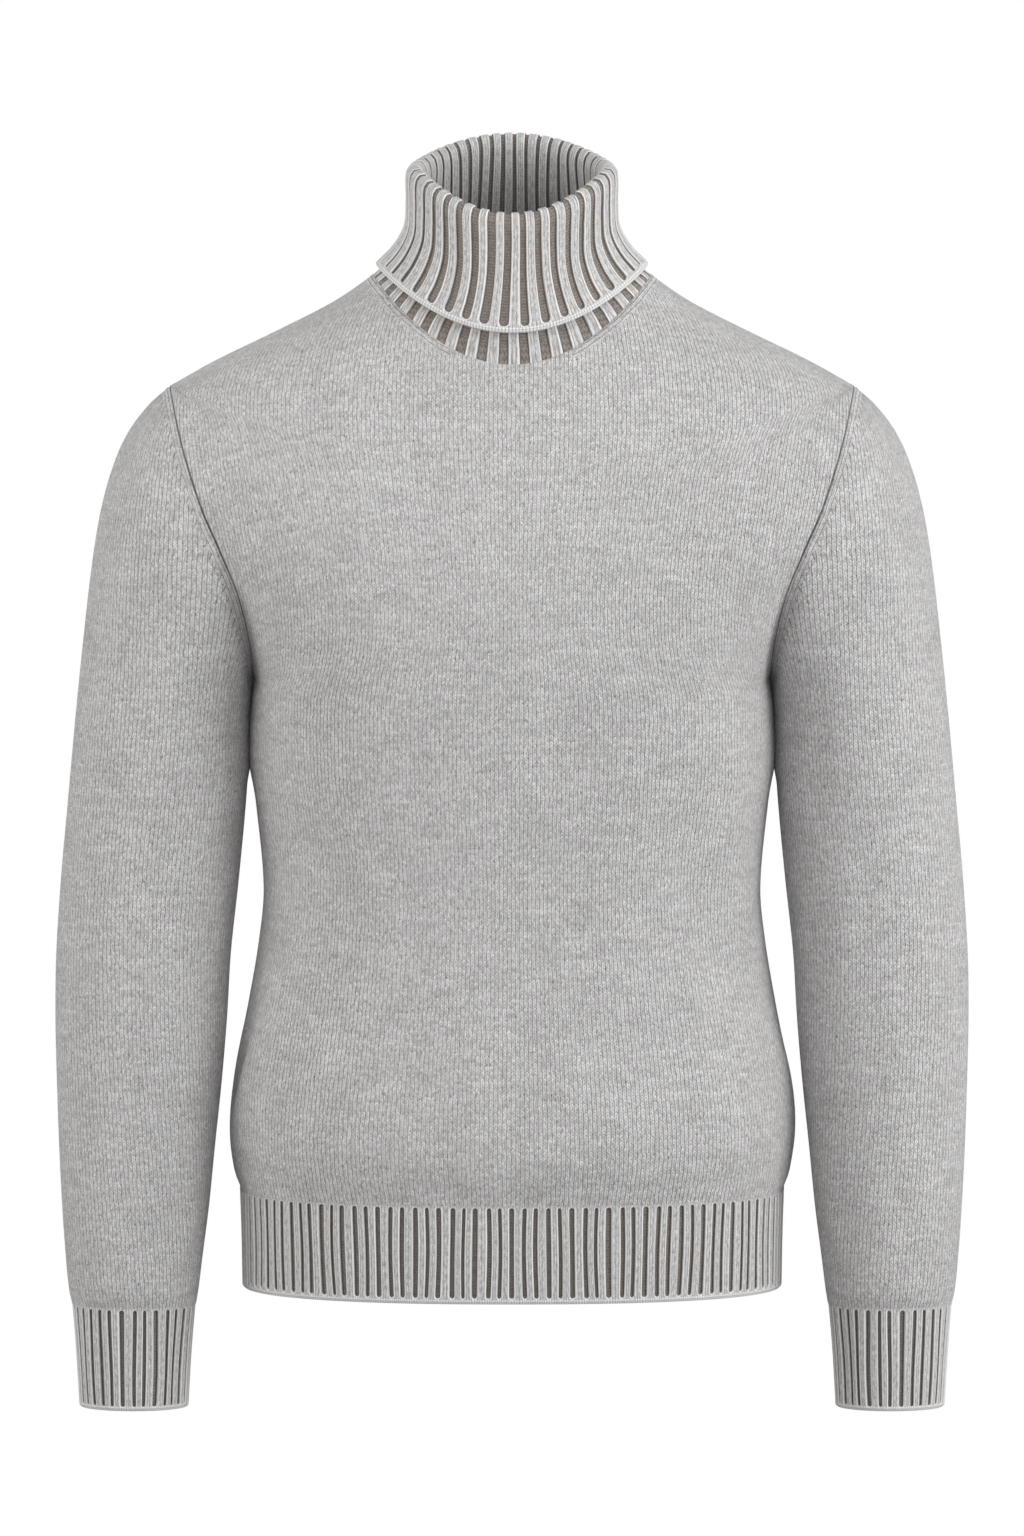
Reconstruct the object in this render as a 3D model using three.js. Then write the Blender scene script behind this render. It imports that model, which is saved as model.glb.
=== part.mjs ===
// Turtleneck sweater in plain knit with a folded rib collar, rib hem and rib cuffs,
// in the hollow form that it has when worn. Millimetres, +Z up, the front faces -Y
// and the wearer's left arm hangs at +X. The origin is the middle of the neck base,
// level with the points where the shoulder seams meet the collar.

import * as THREE from 'three';

const knitWall = 2.4;
const ribWall = 2.6;
const ribHeight = 1.6;
const seamGap = 0.3;

// Level of the neck seam in the middle of the front and of the back
const neckLevel = { front: -53, back: 6 };

// Shoulder seam as the front view shows it, from the sleeve to the collar. The last
// row carries the same slope on to the back of the neck, which is a little higher.
const shoulderSeam = [
  { z: -74, x: 225.5 },
  { z: -57.5, x: 196 },
  { z: -39, x: 158 },
  { z: -18.5, x: 118 },
  { z: 0, x: 91 },
  { z: 6, x: 84 },
];
const shoulderLevels = [0, -15, -30, -45, -60, -74];

// Armhole: top and bottom of the seam, its reach forward and back, and the front view
const armhole = { topZ: -74, bottomZ: -268, front: 70, back: 68 };
const armholeSeam = [
  { z: -268, x: 170 },
  { z: -240, x: 173 },
  { z: -205, x: 181 },
  { z: -175, x: 193 },
  { z: -150, x: 204 },
  { z: -110, x: 217 },
  { z: -74, x: 225.5 },
];

// Body below the arms: half width at the side seams, reach of the front and the back
const sideSeam = [
  { z: -605, halfWidth: 179 },
  { z: -593, halfWidth: 183.5 },
  { z: -566, halfWidth: 186.5 },
  { z: -530, halfWidth: 183 },
  { z: -485, halfWidth: 174.5 },
  { z: -440, halfWidth: 167 },
  { z: -405, halfWidth: 164 },
  { z: -350, halfWidth: 169 },
  { z: -325, halfWidth: 172.6 },
  { z: -295, halfWidth: 172.4 },
  { z: -268, halfWidth: 170 },
];
const frontReach = [
  { z: -605, reach: 119 },
  { z: -575, reach: 127 },
  { z: -530, reach: 124 },
  { z: -470, reach: 116 },
  { z: -405, reach: 112 },
  { z: -330, reach: 117 },
  { z: -250, reach: 121 },
  { z: -190, reach: 116 },
  { z: -140, reach: 104 },
  { z: -95, reach: 88 },
  { z: -53, reach: 72 },
  { z: -26, reach: 58 },
  { z: 0, reach: 42 },
];
const backReach = [
  { z: -605, reach: 114 },
  { z: -575, reach: 122 },
  { z: -530, reach: 114 },
  { z: -470, reach: 102 },
  { z: -405, reach: 97 },
  { z: -330, reach: 104 },
  { z: -250, reach: 115 },
  { z: -180, reach: 119 },
  { z: -115, reach: 107 },
  { z: -58, reach: 90 },
  { z: -16, reach: 70 },
  { z: 6, reach: 60 },
];
// How square the body's level sections are, from the neck down to the chest
const squareness = { neck: 2, body: 2.35, chestZ: -220 };

// Soft folds of the body: degrees round from the middle of the front, towards the
// wearer's left, then where each starts and ends, its spread and its rise
const bodyFolds = [
  { around: 62, top: -275, bottom: -455, lean: -5, spread: 9, rise: -4 },
  { around: -62, top: -285, bottom: -470, lean: 5, spread: 9, rise: -4 },
  { around: -74, top: -430, bottom: -590, lean: -3, spread: 7, rise: 4.5 },
  { around: 78, top: -450, bottom: -585, lean: 4, spread: 8, rise: 3 },
  { around: 118, top: -300, bottom: -500, lean: 7, spread: 10, rise: -4 },
  { around: -122, top: -310, bottom: -490, lean: -8, spread: 10, rise: -4 },
  { around: 168, top: -430, bottom: -585, lean: 12, spread: 9, rise: -3.5 },
  { around: -158, top: -400, bottom: -560, lean: -10, spread: 9, rise: -3 },
];

// Left sleeve from armhole to cuff: the outer and the inner edge of each section in
// the front view, its reach forward and back, and the swing of its middle
const sleeveSections = [
  { outerX: 225.5, outerZ: -74, innerX: 170, innerZ: -268, front: 70, back: 68, middleY: 0 },
  { outerX: 240, outerZ: -87, innerX: 171.8, innerZ: -273, front: 70, back: 68, middleY: 0 },
  { outerX: 254, outerZ: -106, innerX: 172.6, innerZ: -278, front: 69, back: 67, middleY: 0 },
  { outerX: 264.5, outerZ: -131, innerX: 173.2, innerZ: -284, front: 67, back: 66, middleY: 0 },
  { outerX: 272, outerZ: -160, innerX: 173.6, innerZ: -291, front: 65, back: 65, middleY: 0 },
  { outerX: 277.5, outerZ: -195, innerX: 173.8, innerZ: -299, front: 62, back: 63, middleY: -1 },
  { outerX: 282.5, outerZ: -238, innerX: 174, innerZ: -309, front: 60, back: 61, middleY: -1 },
  { outerX: 288, outerZ: -292, innerX: 174, innerZ: -325, front: 59, back: 59, middleY: -2 },
  { outerX: 293.5, outerZ: -352, innerX: 176, innerZ: -355, front: 57, back: 57, middleY: -3 },
  { outerX: 298, outerZ: -402, innerX: 180.5, innerZ: -402, front: 56, back: 56, middleY: -4 },
  { outerX: 301, outerZ: -448, innerX: 185.5, innerZ: -448, front: 54, back: 54, middleY: -7 },
  { outerX: 301.5, outerZ: -490, innerX: 188, innerZ: -490, front: 52, back: 54, middleY: -11 },
  { outerX: 300.5, outerZ: -532, innerX: 191.5, innerZ: -532, front: 50, back: 51, middleY: -15 },
  { outerX: 299, outerZ: -575, innerX: 196, innerZ: -575, front: 48, back: 48, middleY: -19 },
  { outerX: 297, outerZ: -615, innerX: 200, innerZ: -615, front: 46, back: 46, middleY: -22 },
  { outerX: 294.5, outerZ: -650, innerX: 204.5, innerZ: -650, front: 43, back: 43, middleY: -25 },
  { outerX: 292.5, outerZ: -670, innerX: 207, innerZ: -670, front: 41, back: 41, middleY: -26 },
  { outerX: 290.5, outerZ: -679, innerX: 208.5, innerZ: -679, front: 37, back: 37, middleY: -27 },
];

// Left cuff, top to bottom
const cuffSections = [
  { z: -679, outerX: 290.3, innerX: 208.8, reach: 36, middleY: -27 },
  { z: -708, outerX: 288, innerX: 211.3, reach: 34, middleY: -28.5 },
  { z: -747, outerX: 285.6, innerX: 213.6, reach: 32.5, middleY: -30 },
];

// Hem rib, top to bottom
const hemSections = [
  { z: -605, halfWidth: 178.2, front: 118, back: 113 },
  { z: -636, halfWidth: 177.2, front: 117.5, back: 112.5 },
  { z: -670, halfWidth: 176.6, front: 116.5, back: 111.5 },
];

// Collar, followed along the middle of its cloth: up the stand, over the rim and down
// the turnover to its free edge, with the reach and level at the front, side and back,
// and how far the ribs rise on the stand's outside, which shows under the turnover
const collarRows = [
  { frontR: 70.4, frontZ: -44, sideR: 84, sideZ: 2.5, backR: 59, backZ: 14, outside: 1 },
  { frontR: 68, frontZ: -29, sideR: 73, sideZ: 10, backR: 57, backZ: 24, outside: 0.6 },
  { frontR: 64.6, frontZ: -6, sideR: 64.6, sideZ: 27, backR: 53.4, backZ: 42, outside: 0 },
  { frontR: 61, frontZ: 28, sideR: 60.6, sideZ: 60, backR: 48.2, backZ: 73, outside: 0 },
  { frontR: 61.4, frontZ: 40, sideR: 61.6, sideZ: 68, backR: 48, backZ: 82, outside: 0 },
  { frontR: 64, frontZ: 43.4, sideR: 64.3, sideZ: 70.4, backR: 50.6, backZ: 85.4, outside: 0 },
  { frontR: 67, frontZ: 39.5, sideR: 67, sideZ: 67, backR: 53.8, backZ: 82, outside: 0 },
  { frontR: 68.6, frontZ: 21, sideR: 67.2, sideZ: 48, backR: 57.2, backZ: 66, outside: 0 },
  { frontR: 70.6, frontZ: 3, sideR: 68.4, sideZ: 32, backR: 61, backZ: 51, outside: 0 },
  { frontR: 73.4, frontZ: -14, sideR: 74.6, sideZ: 19.5, backR: 65.4, backZ: 36, outside: 0 },
  { frontR: 76.8, frontZ: -30, sideR: 84, sideZ: 8.8, backR: 70, backZ: 22.5, outside: 0 },
];

const ribs = { collar: 44, hemPanel: 60, cuff: 32 };
// Where the three points of a rib stand along it, and how high
const ribPoints = [
  { along: 0, height: 0 },
  { along: 0.26, height: 1 },
  { along: 0.74, height: 1 },
];

const armholeSteps = 10;
const sideSteps = 9;
const frontColumns = 20;
const backColumns = 16;
const hemInnerColumns = 30;
const cuffInnerColumns = 32;

// Value of one column of a table at a place between its rows, along a smooth curve
function readTable(table, key, column, place) {
  const rising = table[0][key] < table[table.length - 1][key];
  const rows = rising ? table : [...table].reverse();
  const last = rows.length - 1;
  let i = 0;
  while (i < last - 1 && place > rows[i + 1][key]) i += 1;
  const slope = (k) => {
    const a = rows[Math.max(k - 1, 0)];
    const b = rows[Math.min(k + 1, last)];
    return (b[column] - a[column]) / (b[key] - a[key]);
  };
  const span = rows[i + 1][key] - rows[i][key];
  const t = THREE.MathUtils.clamp((place - rows[i][key]) / span, 0, 1);
  const lift = t * t * (3 - 2 * t);
  const curve = t * (1 - t) * ((1 - t) * slope(i) - t * slope(i + 1)) * span;
  return THREE.MathUtils.lerp(rows[i][column], rows[i + 1][column], lift) + curve;
}

// Face directions of a grid of points whose rows run along the cloth and whose
// columns run round it
function gridNormals(grid, closed) {
  const lastRow = grid.length - 1;
  const count = grid[0].length;
  return grid.map((row, i) => row.map((point, j) => {
    const previous = closed ? row[(j - 1 + count) % count] : row[Math.max(j - 1, 0)];
    const next = closed ? row[(j + 1) % count] : row[Math.min(j + 1, count - 1)];
    const along = grid[Math.min(i + 1, lastRow)][j].clone().sub(grid[Math.max(i - 1, 0)][j]);
    return along.cross(next.clone().sub(previous)).normalize();
  }));
}

function offsetGrid(grid, normals, distance) {
  return grid.map((row, i) => row.map((point, j) => (
    point.clone().addScaledVector(normals[i][j], distance)
  )));
}

function everyNth(grid, step) {
  return grid.map((row) => row.filter((point, j) => j % step === 0));
}

// Closed wall between an outer and an inner grid with the same rows. The outer one
// may have a whole number of times the inner one's columns.
function wallGeometry(outer, inner, closed) {
  const points = [];
  const faces = [];
  const place = (grid) => grid.map((row) => row.map((point) => points.push(point) - 1));
  const outerAt = place(outer);
  const innerAt = place(inner);
  if (closed) {
    outerAt.forEach((row) => row.push(row[0]));
    innerAt.forEach((row) => row.push(row[0]));
  }
  const skin = (at, outward) => {
    for (let i = 0; i < at.length - 1; i += 1) {
      for (let j = 0; j < at[i].length - 1; j += 1) {
        const [a, b, c, d] = [at[i][j], at[i + 1][j], at[i + 1][j + 1], at[i][j + 1]];
        faces.push(...(outward ? [a, b, c, a, c, d] : [a, c, b, a, d, c]));
      }
    }
  };
  const rim = (many, few, upward) => {
    const step = (many.length - 1) / (few.length - 1);
    const add = (a, b, c) => faces.push(...(upward ? [a, b, c] : [a, c, b]));
    for (let j = 0; j < few.length - 1; j += 1) {
      const middle = j * step + Math.floor(step / 2);
      for (let i = j * step; i < middle; i += 1) add(many[i], many[i + 1], few[j]);
      add(many[middle], few[j + 1], few[j]);
      for (let i = middle; i < (j + 1) * step; i += 1) add(many[i], many[i + 1], few[j + 1]);
    }
  };
  skin(outerAt, true);
  skin(innerAt, false);
  rim(outerAt[0], innerAt[0], true);
  rim(outerAt[outerAt.length - 1], innerAt[innerAt.length - 1], false);
  if (!closed) {
    const column = (at, j) => at.map((row) => row.at(j));
    rim(column(outerAt, 0), column(innerAt, 0), false);
    rim(column(outerAt, -1), column(innerAt, -1), true);
  }
  const geometry = new THREE.BufferGeometry();
  geometry.setFromPoints(points);
  geometry.setIndex(faces);
  geometry.computeVertexNormals();
  return geometry;
}

function mirrored(geometry) {
  const copy = geometry.clone();
  copy.scale(-1, 1, 1);
  const index = Array.from(copy.getIndex().array);
  for (let i = 0; i < index.length; i += 3) {
    [index[i + 1], index[i + 2]] = [index[i + 2], index[i + 1]];
  }
  copy.setIndex(index);
  copy.computeVertexNormals();
  return copy;
}

// Rise of the body's folds at a place given in degrees round the body and in level
function foldRise(around, z) {
  let rise = 0;
  for (const fold of bodyFolds) {
    const middle = (fold.top + fold.bottom) / 2;
    const half = (fold.top - fold.bottom) / 2;
    const down = (middle - z) / half;
    if (Math.abs(down) < 1) {
      const away = around - fold.around - fold.lean * down;
      const turn = THREE.MathUtils.euclideanModulo(away + 180, 360) - 180;
      const fade = Math.cos((down * Math.PI) / 2) ** 2;
      rise += fold.rise * fade * Math.exp(-((turn / fold.spread) ** 2));
    }
  }
  return rise;
}

// Reach of the armhole seam, forwards or back, at a level
function armholeReach(reach, z) {
  const centreZ = (armhole.topZ + armhole.bottomZ) / 2;
  const part = (2 * (z - centreZ)) / (armhole.topZ - armhole.bottomZ);
  return reach * Math.sqrt(Math.max(1 - part * part, 0));
}

// Level section of the body: how far it reaches, how square it is, and how wide the
// oval is that runs through the shoulder seam, the armhole seam or the side seam
function bodySection(z, reachTable, reachOfArmhole) {
  const reach = readTable(reachTable, 'z', 'reach', z);
  const down = THREE.MathUtils.smoothstep(-z, -neckLevel.front, -squareness.chestZ);
  const power = THREE.MathUtils.lerp(squareness.neck, squareness.body, down);
  let widest = readTable(sideSeam, 'z', 'halfWidth', z);
  if (z >= armhole.topZ) {
    widest = readTable(shoulderSeam, 'z', 'x', z);
  } else if (z > armhole.bottomZ) {
    const seamX = readTable(armholeSeam, 'z', 'x', z);
    const depth = armholeReach(reachOfArmhole, z) / reach;
    widest = seamX / (1 - depth ** power) ** (1 / power);
  }
  return { reach, power, widest };
}

// Edge of a panel from the neck down: the shoulder seam, the front or back half of
// the armhole, then the side seam, each row with the level of its middle
function panelEdge(reachOfArmhole, neckZ, middleAtShoulder) {
  const rows = [];
  shoulderLevels.forEach((z, k) => {
    const part = k / (shoulderLevels.length - 1);
    rows.push({
      x: readTable(shoulderSeam, 'z', 'x', z),
      y: 0,
      z,
      middleZ: THREE.MathUtils.lerp(neckZ, middleAtShoulder, part),
      kind: 'seam',
    });
  });
  const centreZ = (armhole.topZ + armhole.bottomZ) / 2;
  const halfZ = (armhole.topZ - armhole.bottomZ) / 2;
  for (let k = 1; k <= armholeSteps; k += 1) {
    const z = centreZ + halfZ * Math.cos((Math.PI * k) / armholeSteps);
    rows.push({
      x: readTable(armholeSeam, 'z', 'x', z),
      y: armholeReach(reachOfArmhole, z),
      z,
      middleZ: THREE.MathUtils.lerp(middleAtShoulder, armhole.bottomZ, k / armholeSteps),
      kind: k === armholeSteps ? 'underarm' : 'armhole',
    });
  }
  const hemZ = hemSections[0].z + seamGap / 2;
  for (let k = 1; k <= sideSteps; k += 1) {
    const z = THREE.MathUtils.lerp(armhole.bottomZ, hemZ, k / sideSteps);
    const x = readTable(sideSeam, 'z', 'halfWidth', z);
    rows.push({ x, y: 0, z, middleZ: z, kind: 'seam' });
  }
  return rows;
}

// Point of a panel on a row, at a share of the way from its middle, 0, to its edge, 1
function panelPoint(row, share, reachTable, reachOfArmhole) {
  const away = Math.abs(share);
  const atEdge = bodySection(row.z, reachTable, reachOfArmhole);
  const turn = Math.acos(Math.min(row.y / atEdge.reach, 1));
  const x = (row.x * Math.sin(away * turn)) / Math.sin(turn);
  const level = Math.cos((away * Math.PI) / 2) ** 2;
  const z = THREE.MathUtils.lerp(row.z, row.middleZ, level);
  const { reach, power, widest } = bodySection(z, reachTable, reachOfArmhole);
  const inside = Math.max(1 - (x / widest) ** power, 0);
  return { x: Math.sign(share) * x, y: Math.max(reach * inside ** (1 / power), seamGap / 2), z };
}

// Way out of the wall at a panel's edge. The neck edge stands upright, shoulder and
// side seams stay in their own plane, and the armhole faces away from its middle.
function edgeDirection(rows, i, side, facing) {
  const row = rows[i];
  const before = rows[Math.max(i - 1, 0)];
  const after = rows[Math.min(i + 1, rows.length - 1)];
  if (row.kind === 'armhole') {
    const centreZ = (armhole.topZ + armhole.bottomZ) / 2;
    return new THREE.Vector3(0, facing * row.y, row.z - centreZ).normalize();
  }
  if (row.kind === 'underarm') return new THREE.Vector3(side, 0, -1).normalize();
  const seam = new THREE.Vector3(before.z - after.z, 0, after.x - before.x).normalize();
  return new THREE.Vector3(side * seam.x, 0, seam.z);
}

// Front or back panel. facing is -1 for the front and 1 for the back.
function panel(facing, columns, reachTable, edge) {
  const reachOfArmhole = facing < 0 ? armhole.front : armhole.back;
  const outer = edge.map((row) => {
    const line = [];
    for (let j = 0; j <= columns; j += 1) {
      const share = (-facing * (2 * j - columns)) / columns;
      const point = panelPoint(row, share, reachTable, reachOfArmhole);
      line.push(new THREE.Vector3(point.x, facing * point.y, point.z));
    }
    return line;
  });
  const normals = gridNormals(outer, false);
  edge.forEach((row, i) => {
    for (const [j, side] of [[0, facing], [columns, -facing]]) {
      normals[i][j] = edgeDirection(edge, i, side, facing);
    }
  });
  outer.forEach((line, i) => line.forEach((point, j) => {
    const fromFront = THREE.MathUtils.radToDeg(Math.atan2(point.x, -point.y));
    point.addScaledVector(normals[i][j], foldRise(fromFront, point.z));
  }));
  normals[0].forEach((normal) => normal.set(0, 0, 1));
  const inner = offsetGrid(outer, normals, -knitWall);
  const lastRow = outer.length - 1;
  inner[lastRow].forEach((point, j) => point.setZ(outer[lastRow][j].z));
  return { outer, geometry: wallGeometry(outer, inner, false) };
}

// Left sleeve, with its first ring on the armhole seam
function sleeve(frontEdge, backEdge) {
  const seamRows = frontEdge.findIndex((row) => row.kind === 'armhole') - 1;
  const around = 2 * armholeSteps;
  const seamPoint = (j) => {
    const onBack = j <= armholeSteps;
    const rows = onBack ? backEdge : frontEdge;
    const row = rows[seamRows + (onBack ? j : around - j)];
    const y = row.kind === 'armhole' ? row.y * (onBack ? 1 : -1) : 0;
    return new THREE.Vector3(row.x + seamGap, y, row.z);
  };
  const sectionPoint = (section, j) => {
    const turn = (2 * Math.PI * j) / around;
    const across = (1 + Math.cos(turn)) / 2;
    const reach = Math.sin(turn) > 0 ? section.back : section.front;
    return new THREE.Vector3(
      THREE.MathUtils.lerp(section.innerX, section.outerX, across),
      section.middleY + reach * Math.sin(turn),
      THREE.MathUtils.lerp(section.innerZ, section.outerZ, across),
    );
  };
  const fadeRings = 6;
  const outer = sleeveSections.map((section, i) => {
    const ring = [];
    for (let j = 0; j < around; j += 1) {
      const bend = seamPoint(j).sub(sectionPoint(sleeveSections[0], j));
      const hold = Math.max(1 - i / fadeRings, 0) ** 2;
      ring.push(sectionPoint(section, j).addScaledVector(bend, hold));
    }
    return ring;
  });
  const lastRing = outer.length - 1;
  outer[lastRing].forEach((point) => point.setZ(point.z + seamGap / 2));
  const normals = gridNormals(outer, true);
  const centreZ = (armhole.topZ + armhole.bottomZ) / 2;
  normals[0].forEach((normal, j) => {
    normal.set(0, outer[0][j].y, outer[0][j].z - centreZ).normalize();
  });
  normals[lastRing].forEach((normal) => normal.setZ(0).normalize());
  return wallGeometry(outer, offsetGrid(outer, normals, -knitWall), true);
}

// Points evenly spaced by length along a curve given as a function of 0 to 1
function evenlySpaced(curve, shares) {
  const fine = [];
  const steps = 400;
  for (let i = 0; i <= steps; i += 1) fine.push(curve(i / steps));
  const lengths = [0];
  for (let i = 1; i <= steps; i += 1) {
    lengths.push(lengths[i - 1] + fine[i].distanceTo(fine[i - 1]));
  }
  let i = 0;
  return shares.map((share) => {
    const target = share * lengths[steps];
    while (i < steps - 1 && lengths[i + 1] < target) i += 1;
    const part = (target - lengths[i]) / (lengths[i + 1] - lengths[i]);
    return fine[i].clone().lerp(fine[i + 1], part);
  });
}

// Shares of the way round and heights of all the points of a number of ribs
function ribLayout(count, closed) {
  const layout = [];
  for (let rib = 0; rib < count; rib += 1) {
    ribPoints.forEach((point) => {
      layout.push({ share: (rib + point.along) / count, height: point.height });
    });
  }
  if (!closed) layout.push({ share: 1, height: 0 });
  return layout;
}

// Raised ribs on a plain ground: the ground's points, its wall and its rib layout
function ribbedWall(ground, normals, layout, innerStep, closed) {
  const face = ground.map((row, i) => row.map((point, j) => (
    point.clone().addScaledVector(normals[i][j], ribHeight * layout[j].height)
  )));
  const inside = everyNth(offsetGrid(ground, normals, -ribWall), innerStep);
  return wallGeometry(face, inside, closed);
}

// Half of the hem rib. facing is -1 for the front and 1 for the back.
function hemRib(facing) {
  const layout = ribLayout(ribs.hemPanel, false);
  const ground = hemSections.map((section, i) => {
    const reach = facing < 0 ? section.front : section.back;
    const curve = (share) => {
      const turn = share * Math.PI;
      const power = 2 / squareness.body;
      const x = -Math.sign(Math.cos(turn)) * Math.abs(Math.cos(turn)) ** power;
      const y = Math.sin(turn) ** power;
      return new THREE.Vector3(-facing * section.halfWidth * x, facing * reach * y, 0);
    };
    const z = i === 0 ? section.z - seamGap / 2 : section.z;
    return evenlySpaced(curve, layout.map((point) => point.share)).map((point) => (
      new THREE.Vector3(point.x, facing * Math.max(Math.abs(point.y), seamGap / 2), z)
    ));
  });
  const normals = gridNormals(ground, false);
  normals.forEach((row, i) => {
    row.forEach((normal) => normal.setZ(0).normalize());
    row[0].set(Math.sign(ground[i][0].x), 0, 0);
    row[row.length - 1].set(-Math.sign(ground[i][0].x), 0, 0);
  });
  const step = (layout.length - 1) / hemInnerColumns;
  return ribbedWall(ground, normals, layout, step, false);
}

function cuffRib() {
  const layout = ribLayout(ribs.cuff, true);
  const ground = cuffSections.map((section, i) => {
    const middleX = (section.outerX + section.innerX) / 2;
    const halfWidth = (section.outerX - section.innerX) / 2 - ribHeight;
    const z = i === 0 ? section.z - seamGap / 2 : section.z;
    return layout.map((point) => {
      const turn = 2 * Math.PI * point.share;
      const x = middleX + halfWidth * Math.cos(turn);
      return new THREE.Vector3(x, section.middleY + section.reach * Math.sin(turn), z);
    });
  });
  const normals = gridNormals(ground, true);
  normals.forEach((row) => row.forEach((normal) => normal.setZ(0).normalize()));
  return ribbedWall(ground, normals, layout, layout.length / cuffInnerColumns, true);
}

// Point of the neck seam at a turn round the neck, on the panels' own neck edges
function neckSeamPoint(turn, frontTop, backTop) {
  const round = THREE.MathUtils.euclideanModulo(turn, 2 * Math.PI);
  const onBack = round < Math.PI;
  const line = onBack ? backTop : frontTop;
  const place = ((onBack ? round : round - Math.PI) / Math.PI) * (line.length - 1);
  const j = Math.min(Math.floor(place), line.length - 2);
  const point = line[j].clone().lerp(line[j + 1], place - j);
  const radius = Math.hypot(point.x, point.y);
  point.x *= (radius - seamGap) / radius;
  point.y *= (radius - seamGap) / radius;
  return point;
}

// Collar with its ribs on the face that shows inside the stand and on the turnover
function collar(frontTop, backTop) {
  const layout = ribLayout(ribs.collar, true);
  const middle = collarRows.map((row) => layout.map((point) => {
    const turn = 2 * Math.PI * point.share;
    const onBack = Math.sin(turn) > 0;
    const reach = onBack ? row.backR : row.frontR;
    const level = onBack ? row.backZ : row.frontZ;
    return new THREE.Vector3(
      row.sideR * Math.cos(turn),
      reach * Math.sin(turn),
      THREE.MathUtils.lerp(row.sideZ, level, Math.sin(turn) ** 2),
    );
  }));
  const normals = gridNormals(middle, true);
  const face = middle.map((row, i) => row.map((point, j) => (
    point.clone().addScaledVector(normals[i][j], ribWall / 2 + ribHeight * layout[j].height)
  )));
  const hidden = middle.map((row, i) => row.map((point, j) => {
    const rise = ribHeight * collarRows[i].outside * layout[j].height;
    return point.clone().addScaledVector(normals[i][j], -ribWall / 2 - rise);
  }));
  const seam = layout.map((point) => (
    neckSeamPoint(2 * Math.PI * point.share, frontTop, backTop)
  ));
  const seamInside = seam.map((point) => point.clone().setZ(point.z - knitWall));
  return wallGeometry([seamInside, ...face], [seam, ...hidden], true);
}

function knitMaterial() {
  return new THREE.MeshStandardMaterial({ color: 0xbfbdbb, roughness: 0.92, metalness: 0 });
}

function ribMaterial() {
  return new THREE.MeshStandardMaterial({ color: 0xb4b1ad, roughness: 0.92, metalness: 0 });
}

const sweater = new THREE.Group();

function addPiece(name, geometry, material) {
  const mesh = new THREE.Mesh(geometry, material);
  mesh.name = name;
  sweater.add(mesh);
}

const frontEdge = panelEdge(armhole.front, neckLevel.front, -112);
const backEdge = panelEdge(armhole.back, neckLevel.back, -86);
const front = panel(-1, frontColumns, frontReach, frontEdge);
const back = panel(1, backColumns, backReach, backEdge);
const leftSleeve = sleeve(frontEdge, backEdge);
const leftCuff = cuffRib();

addPiece('front_panel', front.geometry, knitMaterial());
addPiece('back_panel', back.geometry, knitMaterial());
addPiece('left_sleeve', leftSleeve, knitMaterial());
addPiece('right_sleeve', mirrored(leftSleeve), knitMaterial());
addPiece('front_hem_rib', hemRib(-1), ribMaterial());
addPiece('back_hem_rib', hemRib(1), ribMaterial());
addPiece('left_cuff_rib', leftCuff, ribMaterial());
addPiece('right_cuff_rib', mirrored(leftCuff), ribMaterial());
addPiece('collar', collar(front.outer[0], back.outer[0]), ribMaterial());

export default sweater;
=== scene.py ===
import math

import bpy
import numpy as np
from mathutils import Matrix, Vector


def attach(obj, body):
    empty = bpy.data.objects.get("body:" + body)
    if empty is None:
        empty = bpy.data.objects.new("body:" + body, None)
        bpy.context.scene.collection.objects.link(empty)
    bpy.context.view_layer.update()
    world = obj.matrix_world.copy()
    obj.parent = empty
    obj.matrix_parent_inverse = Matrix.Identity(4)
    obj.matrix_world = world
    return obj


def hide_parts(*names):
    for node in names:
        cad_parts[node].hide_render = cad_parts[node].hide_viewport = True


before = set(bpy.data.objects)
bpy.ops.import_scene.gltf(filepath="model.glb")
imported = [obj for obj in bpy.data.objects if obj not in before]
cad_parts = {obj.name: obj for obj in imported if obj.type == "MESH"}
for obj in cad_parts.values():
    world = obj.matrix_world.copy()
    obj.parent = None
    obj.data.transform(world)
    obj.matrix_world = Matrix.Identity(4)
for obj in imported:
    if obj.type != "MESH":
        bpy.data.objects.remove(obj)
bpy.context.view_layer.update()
print("frame loaded:", len(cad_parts), "parts")

cloth = {
    "knitWall": 2.4,   # thickness of the plain knit
    "ribWall": 2.6,    # thickness of the rib knit between its ribs
    "ribHeight": 1.6,  # how far a rib stands out
}

# Columns: level, half width. Shoulder seam, armhole seam and side seam seen from the front
shoulderSeam = [(-74, 225.5), (-57.5, 196), (-39, 158), (-18.5, 118), (0, 91), (6, 84)]
armholeSeam = [(-268, 170), (-240, 173), (-205, 181), (-175, 193), (-150, 204), (-110, 217), (-74, 225.5)]
sideSeam = [
    (-605, 179), (-593, 183.5), (-566, 186.5), (-530, 183), (-485, 174.5), (-440, 167),
    (-405, 164), (-350, 169), (-325, 172.6), (-295, 172.4), (-268, 170),
]
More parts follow.
